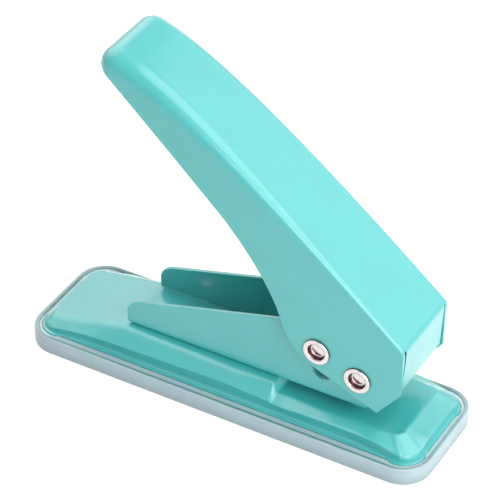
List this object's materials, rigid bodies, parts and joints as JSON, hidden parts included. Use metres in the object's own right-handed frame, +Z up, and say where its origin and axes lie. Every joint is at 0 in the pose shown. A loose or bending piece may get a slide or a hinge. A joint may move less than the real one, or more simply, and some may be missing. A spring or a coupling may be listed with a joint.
{
  "type": "single hole punch",
  "caption": "Hand lever hole punch: pressed steel base in a clear chip tray, a folded channel and a curved lever that drives a sprung punch pin through the paper throat.",
  "frame": {"origin": "on the table, under the middle of the chip tray", "axes": "+X towards the paper throat, +Y to the far side as pictured, +Z up"},
  "size_m": [0.12, 0.0364, 0.0993],
  "materials": {
    "mint_paint": "glossy mint green enamel on pressed steel",
    "clear_plastic": "cloudy clear plastic with a faint blue tint",
    "nickel_plate": "bright nickel plate",
    "plain_steel": "plain hardened steel",
    "white_nylon": "plain nylon"
  },
  "bodies": {
    "tray": {"chip_tray": "clear_plastic"},
    "base": {"base_plate": "mint_paint", "channel_frame": "mint_paint", "frame_rivet_tail": "plain_steel", "frame_rivet_throat": "plain_steel", "punch_guide": "plain_steel", "punch_die": "plain_steel", "fulcrum_spacer_near": "white_nylon", "fulcrum_spacer_far": "white_nylon", "return_spring": "plain_steel"},
    "lever": {"lever_handle": "mint_paint", "fulcrum_rivet": "nickel_plate", "drive_rivet": "nickel_plate"},
    "punch": {"punch_pin": "plain_steel"}
  },
  "joints": [
    {"name": "base_lift", "type": "slide", "parent": "tray", "child": "base", "axis": [0, 0, 1], "range_m": [0, 0.015]},
    {"name": "lever_swing", "type": "hinge", "parent": "base", "child": "lever", "pos_m": [0.03929, 0, 0.0246], "axis": [0, -1, 0], "range_deg": [0, 40], "stiffness_Nm_per_rad": 0.2, "springref_deg": -20.05},
    {"name": "punch_stroke", "type": "slide", "parent": "base", "child": "punch", "axis": [0, 0, -1], "range_m": [0, 0.0087], "deforming": ["return_spring"]}
  ],
  "couplings": [
    {"joint": "punch_stroke", "follows": "lever_swing", "m_per_rad": 0.012403}
  ]
}
